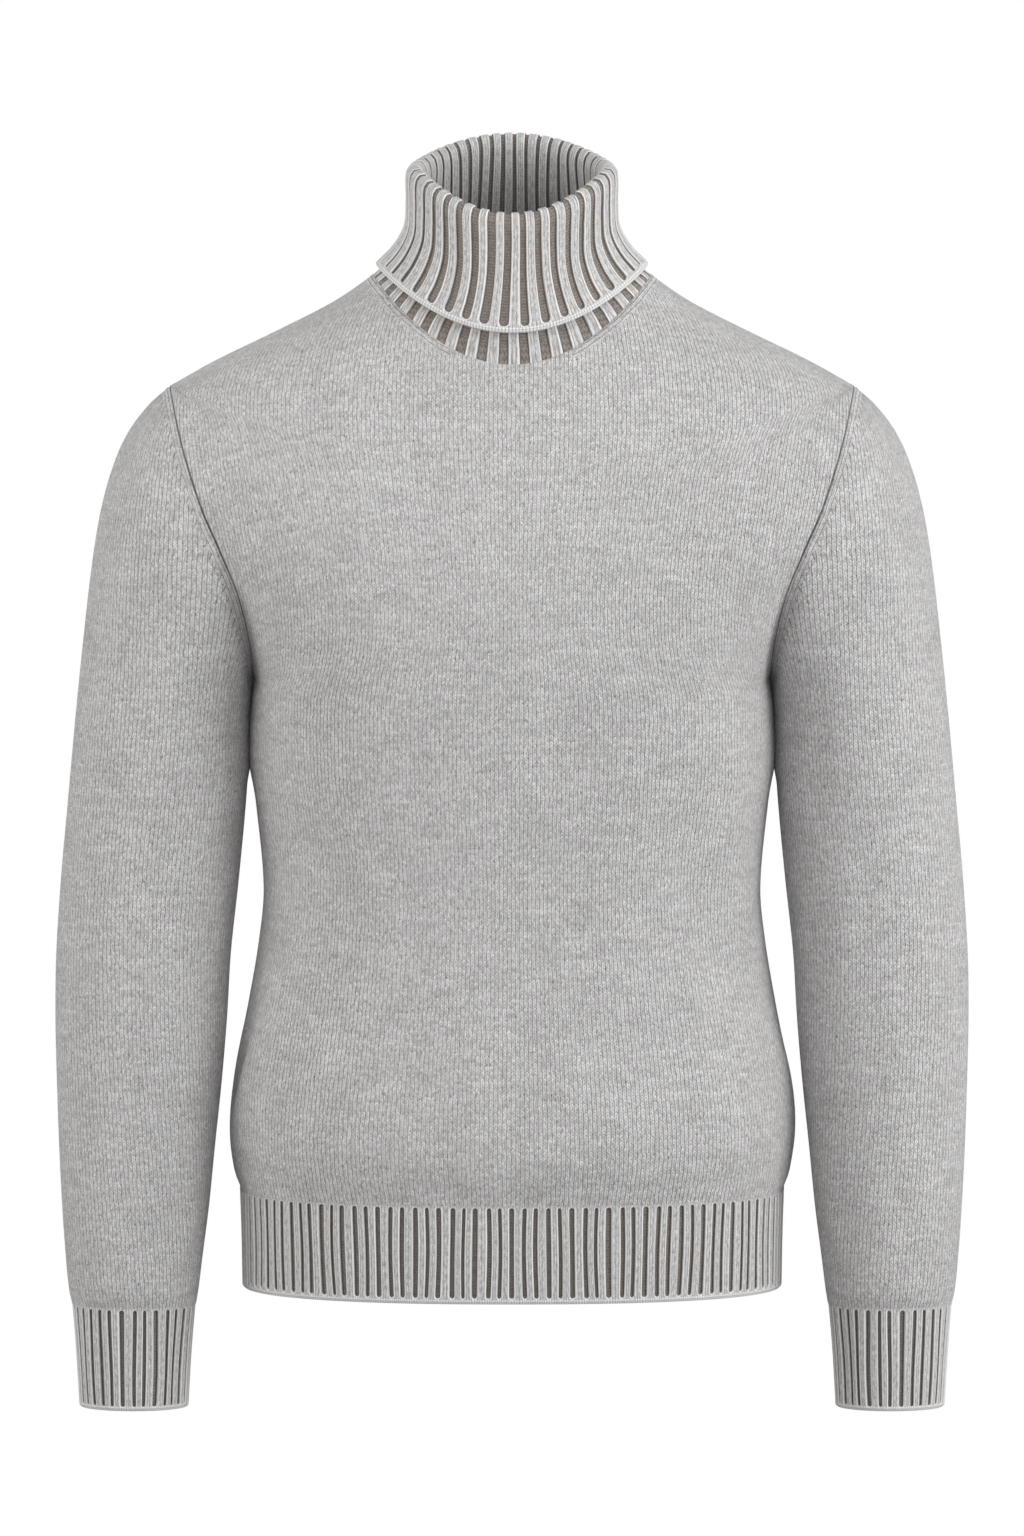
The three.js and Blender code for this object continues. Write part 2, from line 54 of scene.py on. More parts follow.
# Columns: level, reach from the middle. Front and back of the body seen from the side
frontReach = [
    (-605, 119), (-575, 127), (-530, 124), (-470, 116), (-405, 112), (-330, 117), (-250, 121),
    (-190, 116), (-140, 104), (-95, 88), (-53, 72), (-26, 58), (0, 42),
]
backReach = [
    (-605, 114), (-575, 122), (-530, 114), (-470, 102), (-405, 97), (-330, 104), (-250, 115),
    (-180, 119), (-115, 107), (-58, 90), (-16, 70), (6, 60),
]
armhole = {"top": -74, "bottom": -268, "front": 70, "back": 68}
neckLevel = {"front": -53, "back": 6}
middleAtShoulder = {"front": -112, "back": -86}  # level of the middle on the row of the shoulder tips


def curveThrough(rows, places):
    # smooth curve through a table whose first column says where
    table = np.array(sorted(rows), float)
    keys, values = table[:, 0], table[:, 1:]
    order = np.arange(len(keys))
    before, after = np.maximum(order - 1, 0), np.minimum(order + 1, len(keys) - 1)
    slopes = (values[after] - values[before]) / (keys[after] - keys[before])[:, None]
    places = np.asarray(places, float)
    flat = places.ravel()
    at = np.clip(np.searchsorted(keys, flat, side="right") - 1, 0, len(keys) - 2)
    span = (keys[at + 1] - keys[at])[:, None]
    t = np.clip((flat - keys[at])[:, None] / span, 0, 1)
    bend = t * (1 - t) * ((1 - t) * slopes[at] - t * slopes[at + 1]) * span
    found = values[at] + (values[at + 1] - values[at]) * t * t * (3 - 2 * t) + bend
    return found.reshape(places.shape + (values.shape[1],))


def easeIn(value):
    value = np.clip(value, 0, 1)
    return value * value * (3 - 2 * value)


def gridNormals(points, wrap):
    # outward direction of a grid whose columns run round and whose rows run along
    if wrap:
        across = np.roll(points, -1, axis=1) - np.roll(points, 1, axis=1)
    else:
        across = np.gradient(points, axis=1)
    normal = np.cross(across, np.gradient(points, axis=0))
    return normal / np.maximum(np.linalg.norm(normal, axis=2, keepdims=True), 1e-9)


def runLength(points, axis, only=(0, 1, 2)):
    # length followed along a grid's rows or columns, counting only the named axes
    steps = np.linalg.norm(np.diff(points[..., only], axis=axis), axis=2)
    start = np.zeros_like(np.take(steps, [0], axis=axis))
    return np.concatenate([start, np.cumsum(steps, axis=axis)], axis=axis)


def clothGrid(name, points, maps, tube=False):
    # a grid primitive whose vertices are laid on the points, the two edges joined on a tube
    rows, columns = points.shape[:2]
    bpy.ops.object.select_all(action="DESELECT")
    bpy.ops.mesh.primitive_grid_add(x_subdivisions=columns - 1, y_subdivisions=rows - 1, size=2)
    piece = bpy.context.object
    piece.name = piece.data.name = name
    mesh = piece.data
    mesh.vertices.foreach_set("co", (points * 0.001).ravel())
    corners = np.empty(len(mesh.loops), dtype=np.int32)
    mesh.loops.foreach_get("vertex_index", corners)
    while mesh.uv_layers:
        mesh.uv_layers.remove(mesh.uv_layers[0])
    for layerName, values in maps.items():
        layer = mesh.uv_layers.new(name=layerName)
        layer.data.foreach_set("uv", values.reshape(-1, 2)[corners].ravel())
    mesh.update()
    if tube:
        bpy.ops.object.mode_set(mode="EDIT")
        bpy.ops.mesh.select_all(action="SELECT")
        bpy.ops.mesh.remove_doubles(threshold=0.00001)
        bpy.ops.object.mode_set(mode="OBJECT")
    return piece


def thicken(piece, thickness):
    wall = piece.modifiers.new("wall", "SOLIDIFY")
    wall.thickness = thickness * 0.001
    wall.offset = -1
    bpy.ops.object.select_all(action="DESELECT")
    piece.select_set(True)
    bpy.context.view_layer.objects.active = piece
    bpy.ops.object.modifier_apply(modifier=wall.name)


def finishPiece(piece, node, material):
    bpy.ops.object.select_all(action="DESELECT")
    piece.select_set(True)
    bpy.context.view_layer.objects.active = piece
    bpy.ops.object.shade_smooth_by_angle(angle=math.radians(70))
    piece.data.materials.append(material)
    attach(piece, "root")
    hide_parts(node)
    print("made", piece.name, len(piece.data.polygons), "faces")


def toLinear(hexColour):
    values = [int(hexColour[i:i + 2], 16) / 255 for i in (1, 3, 5)]
    return (*[v / 12.92 if v < 0.04045 else ((v + 0.055) / 1.055) ** 2.4 for v in values], 1)


def addNode(tree, kind, inputs, **settings):
    node = tree.nodes.new("ShaderNode" + kind)
    for key, value in settings.items():
        setattr(node, key, value)
    for key, value in inputs.items():
        if isinstance(value, bpy.types.NodeSocket):
            tree.links.new(value, node.inputs[key])
        else:
            node.inputs[key].default_value = value
    return node


# Plain knit: carded merino and alpaca, spun from pale and dark fibres and knitted face side
# out. The yarn scatters light evenly with a faint bloom at grazing angles, each stitch leg
# takes its own tone from the mixed fibres, and the courses show as soft level streaks.
plainKnit = {
    "wale": 2.8,            # width of a stitch column, mm; drawn coarser than the real 1.5 to 1.8
    "course": 2.1,          # height of a stitch, mm; drawn coarser to match
    "light": "#E4E3E4",
    "dark": "#9C9A98",
    "fleck": "#6F6B68",
    "valleyShade": 0.42,         # painted shade in the valleys between stitches: how dark they are drawn
    "seamBand": 7.0,        # mm of wales beside a seam that run along it
    "markPitch": 8.0,       # mm between the fashioning marks of the sleeve head
}


def makePlainKnit(name):
    material = bpy.data.materials.new(name)
    material.use_nodes = True
    tree = material.node_tree
    surface = tree.nodes["Principled BSDF"]
    knitMap = addNode(tree, "UVMap", {}, uv_map="knit").outputs[0]
    seamMap = addNode(tree, "UVMap", {}, uv_map="seam").outputs[0]
    seamParts = addNode(tree, "SeparateXYZ", {0: seamMap})
    seamAway, seamRun = seamParts.outputs[0], seamParts.outputs[1]
    beside = addNode(tree, "Math", {0: seamAway, 1: plainKnit["seamBand"]}, operation="LESS_THAN").outputs[0]
    # run along the seam: below 0 on the body's armholes, 0 to 800 on a sleeve head, and
    # about 1000 at the middle of the front neck
    banded = addNode(tree, "Math", {0: seamRun, 1: 0.0}, operation="GREATER_THAN").outputs[0]
    frontMiddle = addNode(tree, "Math", {0: seamRun, 1: 1000.0, 2: 40.0}, operation="COMPARE").outputs[0]
    banded = addNode(tree, "Math", {0: banded, 1: frontMiddle}, operation="SUBTRACT",
        use_clamp=True).outputs[0]
    inBand = addNode(tree, "Math", {0: beside, 1: banded}, operation="MULTIPLY").outputs[0]
    base = addNode(tree, "Mix", {0: inBand, 4: knitMap, 5: seamMap}, data_type="VECTOR").outputs[1]
    # stitches wander a little, about 0.3 mm over 9 mm
    wander = addNode(tree, "TexNoise", {"Vector": base, "Scale": 0.11, "Detail": 2.0}, noise_dimensions="2D")
    shift = addNode(tree, "VectorMath", {0: wander.outputs["Color"], 1: (1.2, 1.6, 0), 2: base},
        operation="MULTIPLY_ADD").outputs[0]
    parts = addNode(tree, "SeparateXYZ", {0: shift})
    across = addNode(tree, "Math", {0: parts.outputs[0], 1: 1 / plainKnit["wale"]},
        operation="MULTIPLY").outputs[0]
    leg = addNode(tree, "Math", {0: across, 1: 0.5}, operation="PINGPONG").outputs[0]
    edgeRise = addNode(tree, "MapRange", {0: leg, 1: 0.0, 2: 0.15, 3: 0.0, 4: 1.0}).outputs[0]
    centreDip = addNode(tree, "MapRange", {0: leg, 1: 0.5, 2: 0.38, 3: 0.72, 4: 1.0}).outputs[0]
    along = addNode(tree, "Math", {0: parts.outputs[1], 1: 1 / plainKnit["course"]},
        operation="MULTIPLY").outputs[0]
    slant = addNode(tree, "Math", {0: leg, 1: -1.4, 2: along}, operation="MULTIPLY_ADD").outputs[0]
    loop = addNode(tree, "Math", {0: slant, 1: 0.5}, operation="PINGPONG").outputs[0]
    loopRise = addNode(tree, "MapRange", {0: loop, 1: 0.0, 2: 0.3, 3: 0.55, 4: 1.0}).outputs[0]
    stitch = addNode(tree, "Math", {0: edgeRise, 1: loopRise}, operation="MULTIPLY").outputs[0]
    stitch = addNode(tree, "Math", {0: stitch, 1: centreDip}, operation="MULTIPLY").outputs[0]
    # every leg of every stitch has a tone of its own
    legCell = addNode(tree, "Math", {0: across, 1: 2.0}, operation="MULTIPLY").outputs[0]
    legColumn = addNode(tree, "Math", {0: legCell}, operation="FLOOR").outputs[0]
    legRow = addNode(tree, "Math", {0: slant}, operation="FLOOR").outputs[0]
    cell = addNode(tree, "CombineXYZ", {0: legColumn, 1: legRow})
    legTone = addNode(tree, "TexWhiteNoise", {"Vector": cell.outputs[0]}, noise_dimensions="2D").outputs[0]
    # fibres drawn out along the wales, and sparse dark ones half a millimetre wide
    grainAt = addNode(tree, "VectorMath", {0: shift, 1: (1.3, 0.4, 1)}, operation="MULTIPLY").outputs[0]
    grain = addNode(tree, "TexNoise", {"Vector": grainAt, "Scale": 1.0, "Detail": 3.0, "Roughness": 0.75},
        noise_dimensions="2D").outputs[0]
    grainStep = addNode(tree, "MapRange", {0: grain, 1: 0.3, 2: 0.7}).outputs[0]
    tone = addNode(tree, "Mix", {0: 0.55, 2: legTone, 3: grainStep}, data_type="FLOAT").outputs[0]
    blend = addNode(tree, "Mix", {0: tone, 6: toLinear(plainKnit["dark"]), 7: toLinear(plainKnit["light"])},
        data_type="RGBA").outputs[2]
    fleckAt = addNode(tree, "VectorMath", {0: shift, 1: (0.8, 0.35, 1), 2: (31, 7, 0)},
        operation="MULTIPLY_ADD").outputs[0]
    fleck = addNode(tree, "TexNoise", {"Vector": fleckAt, "Scale": 1.0, "Detail": 2.0},
        noise_dimensions="2D").outputs[0]
    fleckStep = addNode(tree, "MapRange", {0: fleck, 1: 0.68, 2: 0.74, 3: 0.0, 4: 0.85}).outputs[0]
    blend = addNode(tree, "Mix", {0: fleckStep, 6: blend, 7: toLinear(plainKnit["fleck"])},
        data_type="RGBA").outputs[2]
    # level streaks where the yarn ran darker, and cloudy patches a few centimetres wide
    streakAt = addNode(tree, "VectorMath", {0: knitMap, 1: (0.03, 0.17, 1)}, operation="MULTIPLY").outputs[0]
    streak = addNode(tree, "TexNoise", {"Vector": streakAt, "Scale": 1.0, "Detail": 4.0, "Roughness": 0.65},
        noise_dimensions="2D").outputs[0]
    streakStep = addNode(tree, "MapRange", {0: streak, 1: 0.28, 2: 0.72, 3: 0.9, 4: 1.08}).outputs[0]
    cloudAt = addNode(tree, "VectorMath", {0: knitMap, 1: (0.028, 0.02, 1)}, operation="MULTIPLY").outputs[0]
    cloud = addNode(tree, "TexNoise", {"Vector": cloudAt, "Scale": 1.0, "Detail": 2.0},
        noise_dimensions="2D").outputs[0]
    cloudStep = addNode(tree, "MapRange", {0: cloud, 1: 0.3, 2: 0.7, 3: 0.97, 4: 1.03}).outputs[0]
    # painted shade in the valleys between stitches, with a slight painted highlight on the stitch tops
    depth = addNode(tree, "MapRange", {0: stitch, 1: 0.0, 2: 0.8, 3: plainKnit["valleyShade"], 4: 1.08}).outputs[0]
    shade = addNode(tree, "Math", {0: depth, 1: streakStep}, operation="MULTIPLY").outputs[0]
    shade = addNode(tree, "Math", {0: shade, 1: cloudStep}, operation="MULTIPLY").outputs[0]
    # the linked seam is a thin dark line with a pale wale beside it
    line = addNode(tree, "MapRange", {0: seamAway, 1: 0.35, 2: 0.8, 3: 0.32, 4: 1.0}).outputs[0]
    shade = addNode(tree, "Math", {0: shade, 1: line}, operation="MULTIPLY").outputs[0]
    # fashioning marks: short slanted gaps where stitches were narrowed along the sleeve head
    markRun = addNode(tree, "Math", {0: seamAway, 1: 0.7, 2: seamRun}, operation="MULTIPLY_ADD").outputs[0]
    markTurn = addNode(tree, "Math", {0: markRun, 1: 1 / plainKnit["markPitch"]},
        operation="MULTIPLY").outputs[0]
    markPhase = addNode(tree, "Math", {0: markTurn, 1: 0.5}, operation="PINGPONG").outputs[0]
    markAlong = addNode(tree, "MapRange", {0: markPhase, 1: 0.11, 2: 0.06}).outputs[0]
    markAcross = addNode(tree, "Math", {0: seamAway, 1: plainKnit["seamBand"] + 0.3, 2: 1.5},
        operation="COMPARE").outputs[0]
    onSleeve = addNode(tree, "Math", {0: seamRun, 1: 400.0, 2: 399.0}, operation="COMPARE").outputs[0]
    mark = addNode(tree, "Math", {0: markAlong, 1: markAcross}, operation="MULTIPLY").outputs[0]
    mark = addNode(tree, "Math", {0: mark, 1: onSleeve}, operation="MULTIPLY").outputs[0]
    markShade = addNode(tree, "Math", {0: mark, 1: -0.42, 2: 1.0}, operation="MULTIPLY_ADD").outputs[0]
    shade = addNode(tree, "Math", {0: shade, 1: markShade}, operation="MULTIPLY").outputs[0]
    colour = addNode(tree, "Mix", {0: 1.0, 6: blend, 7: shade}, data_type="RGBA",
        blend_type="MULTIPLY").outputs[2]
    bump = addNode(tree, "Bump", {"Height": stitch, "Strength": 0.8, "Distance": 0.0007}).outputs[0]
    tree.links.new(colour, surface.inputs["Base Color"])
    tree.links.new(bump, surface.inputs["Normal"])
    surface.inputs["Roughness"].default_value = 0.95
    surface.inputs["Specular IOR Level"].default_value = 0.15
    surface.inputs["Sheen Weight"].default_value = 0.2
    surface.inputs["Sheen Roughness"].default_value = 0.6
    surface.inputs["Sheen Tint"].default_value = toLinear("#ECEAE8")
    return material


# Rib knit: the same yarn. Flat ribs of three fine wales stand between sunk purl grooves, whose loops lie across. A
# painted highlight runs along each rib's turned edge, a painted shadow line lies along its foot, and painted shade
# makes the grooves darker and warmer.
ribKnit = {
    "light": "#DAD9D9",
    "dark": "#A3A1A0",
    # edge: colour of the painted highlight on each rib's turned edge, and of the cast-off loops
    "edge": "#E6E5E4",
    # line: painted shadow along the foot of each rib, just inside the groove
    "line": "#5F5852",
    # groove: the sunk purl grooves, drawn darker and warmer by painted shade
    "groove": "#948C86",
    "course": 2.1,
}


def makeRibKnit(name, rib):
    material = bpy.data.materials.new(name)
    material.use_nodes = True
    tree = material.node_tree
    surface = tree.nodes["Principled BSDF"]
    ribMap = addNode(tree, "UVMap", {}, uv_map="rib").outputs[0]
    standMap = addNode(tree, "UVMap", {}, uv_map="stand").outputs[0]
    parts = addNode(tree, "SeparateXYZ", {0: ribMap})
    standParts = addNode(tree, "SeparateXYZ", {0: standMap})
    fromLine, height = standParts.outputs[0], standParts.outputs[1]
    # the stand map holds how far in a place is from the rib's edge line, and the rib's rise
    wale = rib["pitch"] * (1 - rib["groove"]) / 3
    across = addNode(tree, "Math", {0: parts.outputs[0], 1: 1 / wale, 2: 0.5 - 0.5 * rib["pitch"] / wale},
        operation="MULTIPLY_ADD").outputs[0]
    leg = addNode(tree, "Math", {0: across, 1: 0.5}, operation="PINGPONG").outputs[0]
    legRise = addNode(tree, "MapRange", {0: leg, 1: 0.0, 2: 0.22, 3: 0.0, 4: 1.0}).outputs[0]
    along = addNode(tree, "Math", {0: parts.outputs[1], 1: 1 / ribKnit["course"]},
        operation="MULTIPLY").outputs[0]
    slant = addNode(tree, "Math", {0: leg, 1: -1.5, 2: along}, operation="MULTIPLY_ADD").outputs[0]
    loop = addNode(tree, "Math", {0: slant, 1: 0.5}, operation="PINGPONG").outputs[0]
    loopRise = addNode(tree, "Math", {0: loop, 1: 0.9, 2: 0.55}, operation="MULTIPLY_ADD").outputs[0]
    stitch = addNode(tree, "Math", {0: legRise, 1: loopRise}, operation="MULTIPLY", use_clamp=True).outputs[0]
    # purl loops: level arcs, offset from one to the next
    arc = addNode(tree, "Math", {0: leg, 1: 0.9, 2: along}, operation="MULTIPLY_ADD").outputs[0]
    purl = addNode(tree, "Math", {0: arc, 1: 0.5}, operation="PINGPONG").outputs[0]
    relief = addNode(tree, "Mix", {0: height, 2: purl, 3: stitch}, data_type="FLOAT").outputs[0]
    grainAt = addNode(tree, "VectorMath", {0: ribMap, 1: (0.9, 0.25, 1)}, operation="MULTIPLY").outputs[0]
    grain = addNode(tree, "TexNoise", {"Vector": grainAt, "Scale": 1.0, "Detail": 3.0, "Roughness": 0.7},
        noise_dimensions="2D").outputs[0]
    grainStep = addNode(tree, "MapRange", {0: grain, 1: 0.32, 2: 0.66}).outputs[0]
    blend = addNode(tree, "Mix", {0: grainStep, 6: toLinear(ribKnit["dark"]), 7: toLinear(ribKnit["light"])},
        data_type="RGBA").outputs[2]
    # painted highlight along each rib's turned edge
    edgeHighlight = addNode(tree, "Math", {0: fromLine, 1: 0.6, 2: 0.42}, operation="COMPARE").outputs[0]
    blend = addNode(tree, "Mix", {0: edgeHighlight, 6: blend, 7: toLinear(ribKnit["edge"])},
        data_type="RGBA").outputs[2]
    # painted shade in the hollows of the rib stitches, with a slight painted highlight on their tops
    depth = addNode(tree, "MapRange", {0: relief, 1: 0.0, 2: 0.7, 3: 0.66, 4: 1.04}).outputs[0]
    # painted shade between the purl loops and a painted highlight on them, mixed with the yarn's grain
    purlShade = addNode(tree, "MapRange", {0: purl, 1: 0.05, 2: 0.4, 3: 0.62, 4: 1.15}).outputs[0]
    purlShadeAndGrain = addNode(tree, "Mix", {0: 0.35, 2: purlShade, 3: grainStep}, data_type="FLOAT").outputs[0]
    lit = addNode(tree, "Mix", {0: 1.0, 6: blend, 7: depth}, data_type="RGBA",
        blend_type="MULTIPLY").outputs[2]
    sunk = addNode(tree, "Mix", {0: 1.0, 6: toLinear(ribKnit["groove"]), 7: purlShadeAndGrain}, data_type="RGBA",
        blend_type="MULTIPLY").outputs[2]
    onRib = addNode(tree, "MapRange", {0: fromLine, 1: -0.15, 2: 0.15}).outputs[0]
    colour = addNode(tree, "Mix", {0: onRib, 6: sunk, 7: lit}, data_type="RGBA").outputs[2]
    # the cast-off edge: pale loops over a thin dark line, 3 mm deep
    edgeUp = parts.outputs[1]
    edgeHere = addNode(tree, "MapRange", {0: edgeUp, 1: 3.2, 2: 2.8}).outputs[0]
    edgeLoop = addNode(tree, "Math", {0: parts.outputs[0], 1: 1 / 1.5}, operation="MULTIPLY").outputs[0]
    edgeLoop = addNode(tree, "Math", {0: edgeLoop, 1: 0.5}, operation="PINGPONG").outputs[0]
    edgeTone = addNode(tree, "MapRange", {0: edgeLoop, 1: 0.05, 2: 0.3, 3: 0.68, 4: 1.02}).outputs[0]
    edgeRow = addNode(tree, "Math", {0: edgeUp, 1: 1.5, 2: 0.25}, operation="COMPARE").outputs[0]
    edgeDark = addNode(tree, "Math", {0: edgeRow, 1: -0.25, 2: 1.0}, operation="MULTIPLY_ADD").outputs[0]
    edgeTone = addNode(tree, "Math", {0: edgeTone, 1: edgeDark}, operation="MULTIPLY").outputs[0]
    edgeColour = addNode(tree, "Mix", {0: 1.0, 6: toLinear(ribKnit["edge"]), 7: edgeTone}, data_type="RGBA",
        blend_type="MULTIPLY").outputs[2]
    colour = addNode(tree, "Mix", {0: edgeHere, 6: colour, 7: edgeColour}, data_type="RGBA").outputs[2]
    # painted shadow: a thin dark line just inside the groove, along the foot of each rib
    lineAt = addNode(tree, "MapRange", {0: fromLine, 1: -0.75, 2: -0.3}).outputs[0]
    lineEnd = addNode(tree, "MapRange", {0: fromLine, 1: 0.2, 2: -0.1}).outputs[0]
    footShadowHere = addNode(tree, "Math", {0: lineAt, 1: lineEnd}, operation="MULTIPLY").outputs[0]
    footShadowShare = addNode(tree, "Math", {0: footShadowHere, 1: 0.8}, operation="MULTIPLY").outputs[0]
    colour = addNode(tree, "Mix", {0: footShadowShare, 6: colour, 7: toLinear(ribKnit["line"])},
        data_type="RGBA").outputs[2]
    bump = addNode(tree, "Bump", {"Height": relief, "Strength": 0.7, "Distance": 0.0005}).outputs[0]
    tree.links.new(colour, surface.inputs["Base Color"])
    tree.links.new(bump, surface.inputs["Normal"])
    surface.inputs["Roughness"].default_value = 0.95
    surface.inputs["Specular IOR Level"].default_value = 0.15
    surface.inputs["Sheen Weight"].default_value = 0.2
    surface.inputs["Sheen Roughness"].default_value = 0.6
    surface.inputs["Sheen Tint"].default_value = toLinear("#ECEAE8")
    return material


# Body: two panels. Folds are soft troughs and ridges laid one by one.
body = {
    "rowsShoulder": 22,
    "rowsArmhole": 40,
    "rowsSide": 84,
    "columns": 124,
    "armpitCrease": 13.0,  # depth in mm
    # degrees round from the front towards the wearer's left, top, bottom, lean, spread, rise
    "folds": [
        (54, -285, -515, 10, 7, -4), (68, -290, -480, 7, 6, 2.5), (14, -215, -480, 1, 12, -2.2),
        (-34, -440, -640, 4, 14, -2.6), (-62, -285, -440, 6, 9, -3), (-74, -430, -600, -3, 8, 3.5),
        (-80, -450, -580, -7, 3.5, -3.5), (82, -470, -590, 5, 6, 2.5), (30, -90, -190, 8, 10, -1.6),
        (-30, -95, -200, -8, 10, -1.6), (118, -300, -500, 7, 10, -4), (-122, -310, -490, -8, 10, -4),
        (168, -430, -585, 12, 9, -3.5), (-158, -400, -560, -10, 9, -3), (-100, -430, -580, 4, 6, 2),
    ],
}


def bodyOval(z, reachRows, armReach):
    # level section of the body: reach, squareness and half width of its oval
    reach = curveThrough(reachRows, z)[..., 0]
    power = 2 + 0.35 * easeIn((-z - 53) / (220 - 53))
    seamX = curveThrough(armholeSeam, z)[..., 0]
    depth = armholeReach(armReach, z) / reach
    between = seamX / np.maximum(1 - depth ** power, 1e-6) ** (1 / power)
    widest = np.where(z >= armhole["top"], curveThrough(shoulderSeam, z)[..., 0], between)
    widest = np.where(z <= armhole["bottom"], curveThrough(sideSeam, z)[..., 0], widest)
    return reach, power, widest


def armholeReach(reach, z):
    part = (z - (armhole["top"] + armhole["bottom"]) / 2) / ((armhole["top"] - armhole["bottom"]) / 2)
    return reach * np.sqrt(np.clip(1 - part * part, 0, 1))


def panelEdge(side):
    # the edge from the neck down: shoulder seam, armhole, side seam
    top, bottom = armhole["top"], armhole["bottom"]
    near = np.array([0, 0.5, 1.2, 2.4, 4.5]) / -top
    part = np.concatenate([near, np.linspace(near[-1], 1, body["rowsShoulder"])[1:]])
    z = part * top
    rows = [np.stack([curveThrough(shoulderSeam, z)[:, 0], 0 * z, z,
        neckLevel[side] + (middleAtShoulder[side] - neckLevel[side]) * part], axis=1)]
    part = np.arange(1, body["rowsArmhole"] + 1) / body["rowsArmhole"]
    z = (top + bottom) / 2 + (top - bottom) / 2 * np.cos(np.pi * part)
    middle = middleAtShoulder[side] + (bottom - middleAtShoulder[side]) * part
    rows.append(np.stack([curveThrough(armholeSeam, z)[:, 0], armholeReach(armhole[side], z), z, middle],
        axis=1))
    z = np.linspace(bottom, -605, body["rowsSide"] + 1)[1:]
    rows.append(np.stack([curveThrough(sideSeam, z)[:, 0], 0 * z, z, z], axis=1))
    return np.concatenate(rows)


def panelPoints(edge, shares, side):
    reachRows = frontReach if side == "front" else backReach
    away = np.abs(shares)[None, :]
    x0, y0, z0, middle = [edge[:, k:k + 1] for k in range(4)]
    reachEdge = bodyOval(z0, reachRows, armhole[side])[0]
    # columns move in gently below the shoulder tip, and keep their width at the edge itself
    drawn = np.arcsin(np.clip(y0 / reachEdge, 0, 1))
    turn = np.pi / 2 - drawn * (y0 / armhole[side] + (1 - y0 / armhole[side]) * away ** 10)
    x = x0 * np.sin(away * turn) / np.sin(turn)
    z = z0 + (middle - z0) * np.cos(away * np.pi / 2) ** 2
    reach, power, widest = bodyOval(z, reachRows, armhole[side])
    # inside its edges the cloth passes the shoulder tips and the armpits without a kink
    softer = sum(bodyOval(z + shift, reachRows, armhole[side])[2] for shift in (-26, -13, 0, 13, 26)) / 5
    widest = widest + (softer - widest) * easeIn((1 - away) / 0.3) * easeIn((-55 - z) / 30)
    y = reach * np.clip(1 - (x / widest) ** power, 0, 1) ** (1 / power)
    facing = -1 if side == "front" else 1
    return np.stack([np.sign(shares)[None, :] * x, facing * y, z], axis=2)


def foldRise(around, points, folds):
    # height of the folds at places given in degrees round the form
    rise = np.zeros(around.shape)
    for centre, top, bottom, lean, spread, height in folds:
        down = ((top + bottom) / 2 - points[..., 2]) / ((top - bottom) / 2)
        away = (around - centre - lean * down + 180) % 360 - 180
        fade = np.cos(np.clip(down, -1, 1) * np.pi / 2) ** 2
        rise += height * fade * np.exp(-((away / spread) ** 2))
    return rise


def armpitPress(points, away):
    # below the chest the armhole seam is drawn in, and the cloth creases deeply along it
    y, z = points[..., 1], points[..., 2]
    depth = np.minimum(body["armpitCrease"], 0.68 * np.abs(y)) * np.exp(-((away / 9) ** 2))
    pressed = points.copy()
    pressed[..., 1] -= np.sign(y) * depth * easeIn((-175 - z) / 60)
    return pressed


def seamWelt(points, away):
    # the edge turns in at a seam, but not under the arm, where it would leave a slit
    turned = 1 - easeIn((-150 - points[..., 2]) / 60)
    return np.exp(-((away - 2.2) / 1.4) ** 2) * 0.35 - 0.9 * easeIn(1 - away / 1.6) * turned


def restTogether(points, shift):
    # the side of the body and the inside of the sleeve lie on each other under the armpit
    x, z = points[..., 0], points[..., 2]
    level = easeIn((-262 - z) / 12) * easeIn((z + 338) / 14)
    pressed = points.copy()
    pressed[..., 0] += np.sign(x) * shift * level * np.exp(-((points[..., 1] / 22) ** 2))
    return pressed


def nearSeams(points, seams):
    # distance from each point to the nearest seam, and the run along that seam
    best = np.full(points.shape[:2], 1e9)
    run = np.zeros(points.shape[:2])
    for start, line in seams:
        fine = np.concatenate([line[:-1] + (line[1:] - line[:-1]) * t for t in (0, 0.25, 0.5, 0.75)])
        steps = np.concatenate([[0], np.cumsum(np.linalg.norm(np.diff(line, axis=0), axis=1))])
        runs = np.concatenate([steps[:-1] + (steps[1:] - steps[:-1]) * t for t in (0, 0.25, 0.5, 0.75)])
        for i in range(points.shape[0]):
            gap = np.linalg.norm(points[i][:, None, :] - fine[None, :, :], axis=2)
            at = gap.argmin(axis=1)
            near = gap[np.arange(len(at)), at]
            closer = near < best[i]
            best[i][closer] = near[closer]
            run[i][closer] = start + runs[at][closer]
    return best, run


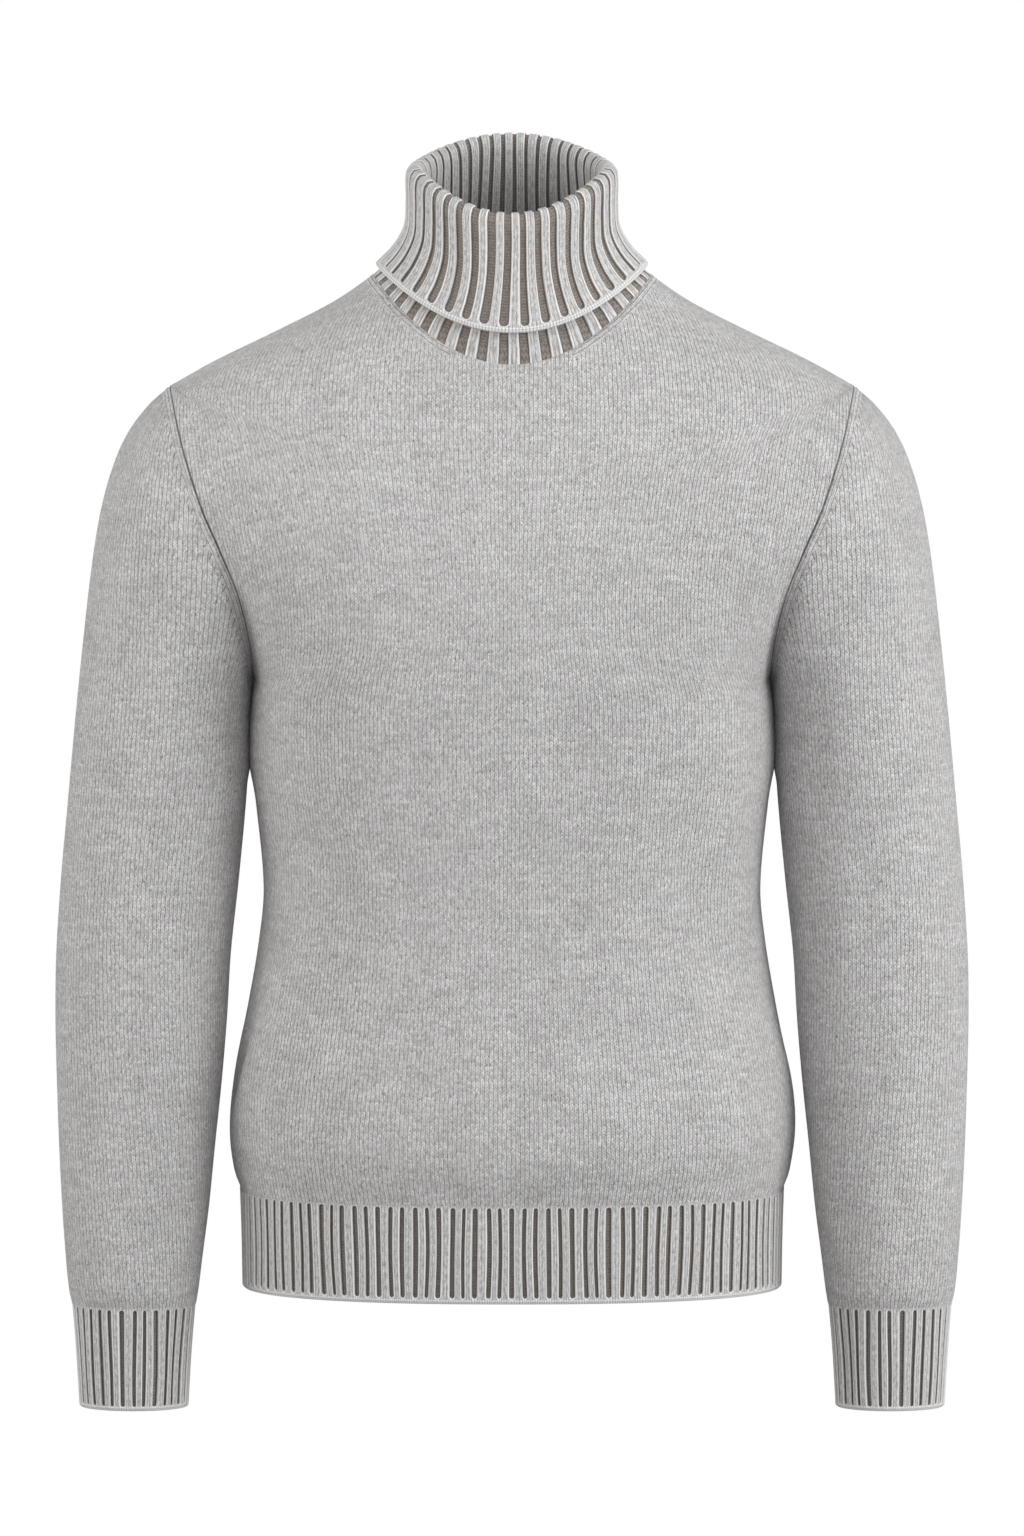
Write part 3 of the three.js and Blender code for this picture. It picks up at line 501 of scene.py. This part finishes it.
def makePanel(name, side, node, material):
    edge = panelEdge(side)[::-1]  # rows run from the hem up
    inner = np.linspace(0, 0.982, body["columns"] // 2 + 1)
    half = np.concatenate([inner, [0.988, 0.9925, 0.9965, 1.0]])
    shares = np.concatenate([-half[:0:-1], half])
    if side == "back":
        shares = -shares
    points = panelPoints(edge, shares, side)
    normals = gridNormals(points, False)
    normals[:, [0, -1], 1] = 0
    middle = points.shape[1] // 2
    u = runLength(points, 1, (0, 1))
    u = u - u[:, middle:middle + 1]
    v = runLength(points, 0, (1, 2))
    count = body["rowsSide"]
    tip = count + body["rowsArmhole"]
    # wales follow the side seam, lean with the armhole, and run straight up over the shoulder
    lean = np.abs(u[count, 0]) / np.abs(u[:, 0])
    lean[count:] = 1 + 0.5 * (lean[count:] - 1)
    lean[tip:] = lean[tip]
    window = np.hanning(23)[1:-1]
    padded = np.concatenate([np.full(10, lean[0]), lean, np.full(10, lean[-1])])
    lean[count - 12:] = np.convolve(padded, window / window.sum(), "valid")[count - 12:]
    u *= lean[:, None]
    armRows = slice(count, count + body["rowsArmhole"] + 1)
    neck = points[-1]
    neckRun = np.linalg.norm(np.diff(neck, axis=0), axis=1).sum() / 2
    neckMiddle = 1000 if side == "front" else 2000
    seams = [(-800, points[armRows, 0]), (-800, points[armRows, -1]), (neckMiddle - neckRun, neck)]
    away, run = nearSeams(points, seams)
    edgeFade = easeIn(away / 30)
    around = np.degrees(np.arctan2(points[..., 0], -points[..., 1]))
    points = points + normals * (foldRise(around, points, body["folds"]) * edgeFade)[..., None]
    points = points + normals * seamWelt(points, away)[..., None]
    toArm = np.where(run < 0, away, 99)
    points = restTogether(armpitPress(points, toArm), 0.7)
    maps = {"knit": np.stack([u, v], axis=2), "seam": np.stack([away, run], axis=2)}
    piece = clothGrid(name, points, maps)
    thicken(piece, cloth["knitWall"])
    finishPiece(piece, node, material)
    return piece


# Sleeves: set in on the armhole seam and tapered to the cuff. Columns: outer x and level,
# inner x and level, reach to the front and back, and where the middle stands
sleeve = {
    "rows": 150,
    "columns": 112,
    "sections": [
        (225.5, -74, 170, -268, 70, 68, 0), (240, -87, 171.8, -273, 70, 68, 0), (254, -106, 172.6, -278, 69,
            67, 0),
        (264.5, -131, 173.2, -284, 67, 66, 0), (272, -160, 173.6, -291, 65, 65, 0), (277.5, -195, 173.8, -299,
            62, 63, -1),
        (282.5, -238, 174, -309, 60, 61, -1), (288, -292, 174, -325, 59, 59, -2), (293.5, -352, 176, -355, 57,
            57, -3),
        (298, -402, 180.5, -402, 56, 56, -4), (301, -448, 185.5, -448, 54, 54, -7), (301.5, -490, 188, -490,
            52, 54, -11),
        (300.5, -532, 191.5, -532, 50, 51, -15), (299, -575, 196, -575, 48, 48, -19), (297, -615, 200, -615,
            46, 46, -22),
        (294.5, -650, 204.5, -650, 43, 43, -25), (292.5, -670, 207, -670, 41, 41, -26), (290.5, -679, 208.5,
            -679, 37, 37, -27),
    ],
    # level, where the middle of the arm is, and the radius the wales are counted on
    "axis": [
        (-679, 249.5, -27, 43), (-575, 247.5, -19, 49), (-490, 244.7, -11, 54), (-402, 239.2, -4, 57),
        (-325, 231, -1, 58), (-268, 224, 0, 60), (-160, 221, 0, 60), (-74, 219, 0, 58),
    ],
    # degrees round from the outside through the back, top, bottom, lean, spread, rise
    "folds": [
        (-95, -330, -470, -14, 11, -2.2), (-60, -370, -520, 12, 9, 1.8), (-120, -250, -380, -10, 10, -2.4),
        (-80, -560, -672, 16, 12, -2.2), (-140, -590, -670, 8, 9, 1.6), (110, -320, -480, 12, 11, -2.4),
        (75, -540, -660, -14, 12, -2.2), (20, -380, -560, 8, 12, -1.8), (150, -440, -580, -9, 9, 1.8),
    ],
}


def sleeveForm(alongShares, turns):
    rows = np.array(sleeve["sections"], float)
    steps = np.hypot(np.diff(rows[:, 0]), np.diff(rows[:, 1])) + np.hypot(np.diff(rows[:, 2]),
        np.diff(rows[:, 3]))
    keys = np.concatenate([[0], np.cumsum(steps)])
    keyed = np.concatenate([keys[:, None], rows], axis=1)
    keyed = [tuple(row) for row in keyed]
    found = curveThrough(keyed, alongShares * keys[-1])
    outerX, outerZ, innerX, innerZ, front, back, middleY = [found[:, k:k + 1] for k in range(7)]
    across = (1 + np.cos(turns)) / 2
    x = innerX + (outerX - innerX) * across
    y = middleY + np.where(np.sin(turns) > 0, back, front) * np.sin(turns)
    z = innerZ + (outerZ - innerZ) * across
    ring = np.interp(alongShares * keys[-1], keys, np.arange(len(keys)))[:, None]
    hold = np.clip(1 - ring / 6, 0, 1) ** 2
    seamZ = armhole["bottom"] + (armhole["top"] - armhole["bottom"]) * across
    bend = curveThrough(armholeSeam, seamZ)[..., 0] - (170 + (225.5 - 170) * across)
    return np.stack([x + hold * bend, y, z], axis=2)


def makeSleeve(name, side, node, material):
    turns = (np.linspace(0, 2 * np.pi, sleeve["columns"] + 1) + np.pi)[None, :]
    near = np.array([0, 0.001, 0.0022, 0.004, 0.0065])
    along = np.concatenate([near, np.linspace(near[-1], 1, sleeve["rows"])[1:]])[::-1]
    points = sleeveForm(along, turns)
    away = np.flip(runLength(np.flip(points, 0), 0), 0)
    seamRun = runLength(points[-1:], 1)
    run = np.repeat(seamRun, len(points), axis=0)
    # wales run down the arm, counted round its axis from the outside
    axisX, axisY, radius = np.moveaxis(curveThrough(sleeve["axis"], points[..., 2]), 2, 0)
    u = radius * np.arctan2(points[..., 1] - axisY, points[..., 0] - axisX)
    u[:, 0], u[:, -1] = -np.pi * radius[:, 0], np.pi * radius[:, -1]
    v = points[..., 2].copy()
    if side == "right":
        points = points * (-1, 1, 1)
        points, away, run, u, v, radius = [np.flip(a, 1) for a in (points, away, run, u, v, radius)]
    normals = gridNormals(points, False)
    ends = normals[:, 0] + normals[:, -1]
    normals[:, 0] = normals[:, -1] = ends / np.linalg.norm(ends, axis=1, keepdims=True)
    welt = seamWelt(points, away)
    rise = foldRise(np.degrees(u / radius), points, sleeve["folds"])
    points = points + normals * (welt + rise * easeIn((away - 20) / 40))[..., None]
    points = armpitPress(points, away)
    onInside = np.cos(turns)[..., None] < 0
    points = np.where(onInside, restTogether(points, -1.3), points)
    points[:, -1] = points[:, 0]
    maps = {"knit": np.stack([u, v], axis=2), "seam": np.stack([away, run], axis=2)}
    piece = clothGrid(name, points, maps, True)
    thicken(piece, cloth["knitWall"])
    finishPiece(piece, node, material)
    return piece


# Hem: a rib band in two halves. Columns: level, half width, reach of the front and back
hemRib = {
    "ribs": 60, "pitch": 8.0, "groove": 0.34, "grooveEnd": 4.0, "grooveTop": 63.6, "sink": 0.5,
    "sections": [(-605, 178.2, 118, 113), (-636, 177.2, 117.5, 112.5), (-670, 176.6, 116.5, 111.5)],
}
# Cuffs: a rib band each. Columns: level, outer and inner x, reach, where the middle stands
cuffRib = {
    "ribs": 32, "pitch": 7.4, "groove": 0.32, "grooveEnd": 3.0, "grooveTop": 66.6, "sink": 0.5,
    "sections": [(-679, 290.3, 208.8, 36, -27), (-708, 288, 211.3, 34, -28.5),
        (-747, 285.6, 213.6, 32.5, -30)],
}


def ribShares(count, grooves):
    # places across the ribs, closer together where a groove ends; grooves is a row of widths
    # for each row of the grid, one width a groove, as shares of the pitch
    left, right = grooves[:, :-1, None] / 2, grooves[:, 1:, None] / 2
    near = [-0.035, -0.008, 0.02, 0.055, 0.13]
    steps = [0 * left, 0.55 * left] + [left + at for at in near] + [0 * left + 0.5]
    steps += [1 - right - at for at in near[::-1]] + [1 - 0.55 * right]
    turns = np.arange(count)[None, :, None] + np.concatenate(steps, axis=2)
    return np.concatenate([turns.reshape(len(grooves), -1), np.full((len(grooves), 1), float(count))], axis=1)


def evenShares(rib):
    return ribShares(rib["ribs"], np.full((1, rib["ribs"] + 1), rib["groove"]))[0]


def ribStand(turn, fromEdge, rib, groove):
    # distance in mm from a groove's outline, less than 0 in the groove, and the rib's rise there
    q = 1 - np.abs(2 * (turn % 1) - 1)
    radius = rib["pitch"] / 2
    end = np.clip((rib["grooveEnd"] + groove * radius - fromEdge) / radius, 0, 1)
    top = np.clip((fromEdge - rib["grooveTop"] + groove * radius) / radius, 0, 1)
    fromLine = (np.sqrt(q ** 2 + np.maximum(end, top) ** 2) - groove) * radius
    return fromLine, easeIn((fromLine + 0.45) / 0.95)


def roundEdge(fromEdge):
    # how far the cloth turns in on its last 1.5 mm before the free edge
    return -1.0 * np.clip(1 - fromEdge / 1.5, 0, 1) ** 2


def makeHem(name, side, node, material):
    facing = -1 if side == "front" else 1
    shares = evenShares(hemRib)
    levels = np.concatenate([np.linspace(0, 1.6, 4), np.linspace(3, 10, 8), np.linspace(14, 60, 9),
        [61.5, 62.5, 63.3, 64.2, 65]]) - 670
    found = curveThrough(hemRib["sections"], levels)
    width, reach = found[:, :1], found[:, 1:2] if side == "front" else found[:, 2:3]
    turn = np.linspace(0, np.pi, 1600)[None, :]
    power = 2 / 2.35
    x = facing * width * np.sign(np.cos(turn)) * np.abs(np.cos(turn)) ** power
    y = facing * reach * np.sin(turn) ** power
    length = np.concatenate([np.zeros((len(levels), 1)), np.cumsum(np.hypot(np.diff(x), np.diff(y)), axis=1)],
        axis=1)
    ground = np.empty((len(levels), len(shares), 3))
    for i in range(len(levels)):
        # the ribs sway a little on their way down and differ a little in width
        angle = 2 * np.pi * shares / hemRib["ribs"]
        sway = 0.09 * np.sin(3 * angle) * np.sin(levels[i] / 26) + 0.06 * np.sin(11 * angle) * np.sin(levels[i] / 15)
        sway = sway + 0.07 * np.sin(22 * angle) + 0.04 * np.sin(17 * angle + 1)
        want = (shares + sway) / hemRib["ribs"] * length[i, -1]
        ground[i, :, 0] = np.interp(want, length[i], x[i])
        ground[i, :, 1] = np.interp(want, length[i], y[i])
        ground[i, :, 2] = levels[i]
    normals = gridNormals(ground, False)
    normals[..., 2] = 0
    normals /= np.linalg.norm(normals, axis=2, keepdims=True)
    fromEdge = (levels + 670)[:, None]
    fromLine, rise = ribStand(shares[None, :], fromEdge, hemRib, hemRib["groove"])
    lift = (cloth["ribHeight"] + hemRib["sink"]) * rise - hemRib["sink"] + roundEdge(fromEdge)
    points = ground + normals * lift[..., None]
    u = np.repeat(shares[None, :] * hemRib["pitch"], len(levels), axis=0)
    v = np.repeat(fromEdge, len(shares), axis=1)
    stand = np.stack(np.broadcast_arrays(fromLine, rise), axis=2)
    piece = clothGrid(name, points, {"rib": np.stack([u, v], axis=2), "stand": stand})
    thicken(piece, cloth["ribWall"])
    finishPiece(piece, node, material)
    # the width is the cloth's own, in and out over the ribs
    return piece


def makeCuff(name, side, node, material):
    shares = evenShares(cuffRib)
    levels = np.concatenate([np.linspace(0, 1.6, 4), np.linspace(2.6, 8, 7), np.linspace(12, 62, 10),
        [64.6, 65.6, 66.4, 67.2, 68]]) - 747
    found = curveThrough(cuffRib["sections"], levels)
    outerX, innerX, reach, middleY = [found[:, k:k + 1] for k in range(4)]
    middleX, halfWidth = (outerX + innerX) / 2, (outerX - innerX) / 2 - cloth["ribHeight"]
    angle = 2 * np.pi * shares[None, :] / cuffRib["ribs"]
    sway = 0.08 * np.sin(3 * angle + 1) * np.sin(levels[:,
        None] / 24) + 0.05 * np.sin(7 * angle) * np.sin(levels[:, None] / 14)
    sway = sway + 0.06 * np.sin(11 * angle) + 0.04 * np.sin(9 * angle + 2)
    turn = angle + np.pi + 2 * np.pi * sway / cuffRib["ribs"]
    ground = np.stack([
        middleX + halfWidth * np.cos(turn),
        middleY + reach * np.sin(turn),
        np.repeat(levels[:, None], len(shares), axis=1),
    ], axis=2)
    if side == "right":
        ground = np.flip(ground * (-1, 1, 1), 1)
    normals = gridNormals(ground, False)
    normals[..., 2] = 0
    ends = normals[:, 0] + normals[:, -1]
    normals[:, 0] = normals[:, -1] = ends
    normals /= np.linalg.norm(normals, axis=2, keepdims=True)
    fromEdge = (levels + 747)[:, None]
    fromLine, rise = ribStand(shares[None, :], fromEdge, cuffRib, cuffRib["groove"])
    lift = (cloth["ribHeight"] + cuffRib["sink"]) * rise - cuffRib["sink"] + roundEdge(fromEdge)
    points = ground + normals * lift[..., None]
    points[:, -1] = points[:, 0]
    u = np.repeat(shares[None, :] * cuffRib["pitch"], len(levels), axis=0)
    v = np.repeat(fromEdge, len(shares), axis=1)
    stand = np.stack(np.broadcast_arrays(fromLine, rise), axis=2)
    piece = clothGrid(name, points, {"rib": np.stack([u, v], axis=2), "stand": stand}, True)
    thicken(piece, cloth["ribWall"])
    finishPiece(piece, node, material)
    return piece


# Collar: one tube, up the stand, over the rolled rim and down the turnover. Columns: reach and
# level at the front, side and back along the middle of the cloth, and the ribs' share outside
collar = {
    "ribs": 44, "pitch": 9.6, "groove": 0.45, "sideGroove": 0.2, "backGroove": 0.33, "crowd": 0.1,
    "grooveEnd": 4.0, "grooveTop": 999.0, "sink": 0.4, "rimFrom": 70.0, "rows": 66,
    "sections": [
        (70.4, -44, 84, 2.5, 59, 14, 1), (68, -29, 73, 10, 57, 24, 0.6), (64.6, -6, 64.6, 27, 53.4, 42, 0),
        (61, 28, 60.6, 60, 48.2, 75, 0), (61.4, 40, 61.6, 68, 48, 84.4, 0), (64, 43.4, 64.3, 70.4, 50.6, 87.8,
            0),
        (67, 39.5, 67, 67, 53.8, 84, 0), (68.6, 21, 67.2, 48, 57.2, 66, 0), (70.6, 3, 68.4, 32, 61, 51, 0),
        (73.6, -15, 75.8, 18, 65.4, 35, 0), (77.2, -32.5, 88.2, 5.2, 70, 21, 0),
    ],
}


def neckSeamPoints(turn):
    # points on the panels' neck edges at a turn round the neck, counted from +X through the back
    turn = turn % (2 * np.pi)
    backShare = 1 - 2 * turn / np.pi
    frontShare = -1 + 2 * (turn - np.pi) / np.pi
    back = panelPoints(np.array([[91, 0, 0, neckLevel["back"]]], float), backShare, "back")[0]
    front = panelPoints(np.array([[91, 0, 0, neckLevel["front"]]], float), frontShare, "front")[0]
    return np.where((turn < np.pi)[:, None], back, front)


def grooveShares(turns, down):
    # widths of the collar's grooves, front 3/4 of the way round and back 1/4
    angle = 2 * np.pi * turns / collar["ribs"]
    front, back = np.clip(-np.sin(angle), 0, 1), np.clip(np.sin(angle), 0, 1)
    share = collar["sideGroove"] + (collar["groove"] - collar["sideGroove"]) * front ** 1.3
    share = share + (collar["backGroove"] - collar["sideGroove"]) * back ** 1.3
    share = share * (1 + 0.1 * np.sin(5 * angle + 1) + 0.07 * np.sin(13 * angle))
    stand = easeIn((down - 118) / 14)
    return share + (collar["groove"] - share) * stand


def makeCollar(name, node, material):
    rows = np.array(collar["sections"], float)
    steps = np.hypot(np.diff(rows[:, 2]), np.diff(rows[:, 3]))
    keys = np.concatenate([[0], np.cumsum(steps)])
    keyed = [tuple(row) for row in np.concatenate([keys[:, None], rows], axis=1)]
    places = np.linspace(0, keys[-1], collar["rows"])
    places = np.sort(np.concatenate([places, keys[-1] - np.array([0.5, 1.0, 3.0, 4.5])]))
    found = curveThrough(keyed, places)
    frontR, frontZ, sideR, sideZ, backR, backZ, outside = [found[:, k:k + 1] for k in range(7)]
    # on the turnover and the inside the grooves close up toward the sides and the back, where
    # the ribs crowd; on the stand under the turnover they stay open
    down = (keys[-1] - places)[:, None]
    rim = np.exp(-((down - collar["rimFrom"]) / 9) ** 2)
    count = collar["ribs"]
    grooves = grooveShares(np.arange(count + 1)[None, :], down)
    shares = ribShares(count, grooves)
    groove = grooveShares(np.round(shares), down)
    angle = 2 * np.pi * shares / count
    bend = 0.11 * np.sin(3 * angle + 2) * np.sin(down / 28) + 0.07 * np.sin(8 * angle) * np.sin(down / 17 + 1)
    crowd = collar["crowd"] * count / (2 * np.pi) * (np.cos(angle) - 1)
    turn = np.pi - 2 * np.pi * (shares + crowd + bend) / count
    onBack = np.sin(turn) > 0
    reach, level = np.where(onBack, backR, frontR), np.where(onBack, backZ, frontZ)
    middle = np.stack([
        sideR * np.cos(turn),
        reach * np.sin(turn),
        sideZ + (level - sideZ) * np.sin(turn) ** 2,
    ], axis=2)
    normals = gridNormals(middle, False)
    ends = normals[:, 0] + normals[:, -1]
    normals[:, 0] = normals[:, -1] = ends / np.linalg.norm(ends, axis=1, keepdims=True)
    fromEdge = np.flip(runLength(np.flip(middle, 0), 0), 0)
    fromLine, rise = ribStand(shares, fromEdge, collar, groove)
    lift = (cloth["ribHeight"] + collar["sink"] * (1 - 2 * rim)) * rise - collar["sink"] * (1 - 2 * rim) + roundEdge(fromEdge)
    face = middle + normals * (cloth["ribWall"] / 2 + lift)[..., None]
    hidden = middle - normals * (cloth["ribWall"] / 2 + cloth["ribHeight"] * outside * rise)[..., None]
    seam = neckSeamPoints(turn[0])
    inside = seam - (0, 0, cloth["knitWall"])
    points = np.concatenate([inside[None], face, hidden[::-1], seam[None], inside[None]])
    order = np.concatenate([[0], np.arange(len(places)), np.arange(len(places))[::-1], [0, 0]])
    points[:, -1] = points[:, 0]
    v = fromEdge[order]
    v[0] = v[-2] = v[-1] = fromEdge[0] + 4
    maps = {
        "rib": np.stack([(shares * collar["pitch"])[order], v], axis=2),
        "stand": np.stack([fromLine[order], rise[order]], axis=2),
    }
    piece = clothGrid(name, points, maps, True)
    finishPiece(piece, node, material)
    return piece


knitWool = makePlainKnit("melange wool, plain knit")
hemWool = makeRibKnit("melange wool, hem rib", hemRib)
cuffWool = makeRibKnit("melange wool, cuff rib", cuffRib)
collarWool = makeRibKnit("melange wool, collar rib", collar)
print("materials made")

makePanel("front_knit", "front", "front_panel", knitWool)
makePanel("back_knit", "back", "back_panel", knitWool)
makeSleeve("left_sleeve_knit", "left", "left_sleeve", knitWool)
makeSleeve("right_sleeve_knit", "right", "right_sleeve", knitWool)
makeHem("front_hem", "front", "front_hem_rib", hemWool)
makeHem("back_hem", "back", "back_hem_rib", hemWool)
makeCuff("left_cuff", "left", "left_cuff_rib", cuffWool)
makeCuff("right_cuff", "right", "right_cuff_rib", cuffWool)
makeCollar("folded_collar", "collar", collarWool)

# Plain white room
studio = {"floor": -1.0, "roomLeft": 0.38, "roomRight": 1.0, "roomBack": 0.6, "floorGlow": 0.6}

bpy.ops.object.select_all(action="DESELECT")
bpy.ops.mesh.primitive_plane_add(size=120, location=(0, 0, studio["floor"]))
floor = bpy.context.object
floor.name = "floor"
paper = bpy.data.materials.new("white paper, burnt out")
paper.use_nodes = True
paperSurface = paper.node_tree.nodes["Principled BSDF"]
paperSurface.inputs["Base Color"].default_value = toLinear("#8C8C8C")
paperSurface.inputs["Roughness"].default_value = 0.9
# the sweep of paper in front is lit by lamps out of the picture
paperAt = addNode(paper.node_tree, "SeparateXYZ",
    {0: addNode(paper.node_tree, "NewGeometry", {}).outputs["Position"]})
lit = addNode(paper.node_tree, "MapRange",
    {0: paperAt.outputs[1], 1: -0.9, 2: -1.8, 3: 0.0, 4: studio["floorGlow"]}).outputs[0]
paper.node_tree.links.new(lit, paperSurface.inputs["Emission Strength"])
paperSurface.inputs["Emission Color"].default_value = (1, 1, 1, 1)
glow = addNode(paper.node_tree, "Emission", {"Color": (1, 1, 1, 1)})
seen = addNode(paper.node_tree, "LightPath", {}).outputs["Is Camera Ray"]
burnt = addNode(paper.node_tree, "MixShader", {0: seen, 1: paperSurface.outputs[0], 2: glow.outputs[0]})
paper.node_tree.links.new(burnt.outputs[0], paper.node_tree.nodes["Material Output"].inputs["Surface"])
floor.data.materials.append(paper)

world = bpy.data.worlds.new("white room")
world.use_nodes = True
roomTree = world.node_tree
background = roomTree.nodes["Background"]
background.inputs["Color"].default_value = (1, 1, 1, 1)
# the room is bright in front and to the right, dim behind, and burnt out where it is seen
towards = addNode(roomTree, "SeparateXYZ", {0: addNode(roomTree, "TexCoord", {}).outputs["Generated"]})
rightward = addNode(roomTree, "MapRange",
    {0: towards.outputs[0], 1: -0.5, 2: 0.5, 3: studio["roomLeft"], 4: studio["roomRight"]}).outputs[0]
frontward = addNode(roomTree, "MapRange",
    {0: towards.outputs[1], 1: 0.25, 2: -0.15, 3: studio["roomBack"], 4: 1.0}).outputs[0]
glowHere = addNode(roomTree, "Math", {0: rightward, 1: frontward}, operation="MULTIPLY").outputs[0]
direct = addNode(roomTree, "LightPath", {}).outputs["Is Camera Ray"]
strength = addNode(roomTree, "Mix", {0: direct, 2: glowHere, 3: 1.0}, data_type="FLOAT").outputs[0]
roomTree.links.new(strength, background.inputs["Strength"])
bpy.context.scene.world = world


def addLamp(name, place, target, size, power, colour):
    bpy.ops.object.light_add(type="AREA", location=place)
    lamp = bpy.context.object
    lamp.name = name
    lamp.data.size = size
    lamp.data.energy = power
    lamp.data.color = toLinear(colour)[:3]
    lamp.rotation_euler = (Vector(target) - Vector(place)).to_track_quat("-Z", "Y").to_euler()


addLamp("right softbox", (3.0, -1.7, 0.3), (0, 0, -0.33), 1.6, 58, "#FFFFFF")
addLamp("left softbox", (-3.0, -1.7, 0.3), (0, 0, -0.33), 1.6, 20, "#FFFDFA")
addLamp("left edge light", (-3.3, -0.6, 0.3), (0, 0, -0.33), 1.6, 30, "#FFFDFA")
addLamp("top softbox", (-0.7, -1.0, 2.6), (0, 0, -0.33), 1.6, 14, "#FFFFFF")
addLamp("back softbox", (-0.6, 3.4, 0.7), (0, 0, -0.33), 1.6, 38, "#FFFFFF")

bpy.ops.object.camera_add()
camera = bpy.context.object
camera.name = "camera"
aim = Vector((0, 0, -0.327))
distance, lift = 20.0, math.radians(5.5)
camera.location = aim + Vector((0, -distance * math.cos(lift), distance * math.sin(lift)))
camera.rotation_euler = (aim - camera.location).to_track_quat("-Z", "Y").to_euler()
camera.data.sensor_fit = "VERTICAL"
camera.data.sensor_height = 36
camera.data.lens = 36 * distance / 1.0138
bpy.context.scene.camera = camera
bpy.context.scene.view_settings.view_transform = "Standard"
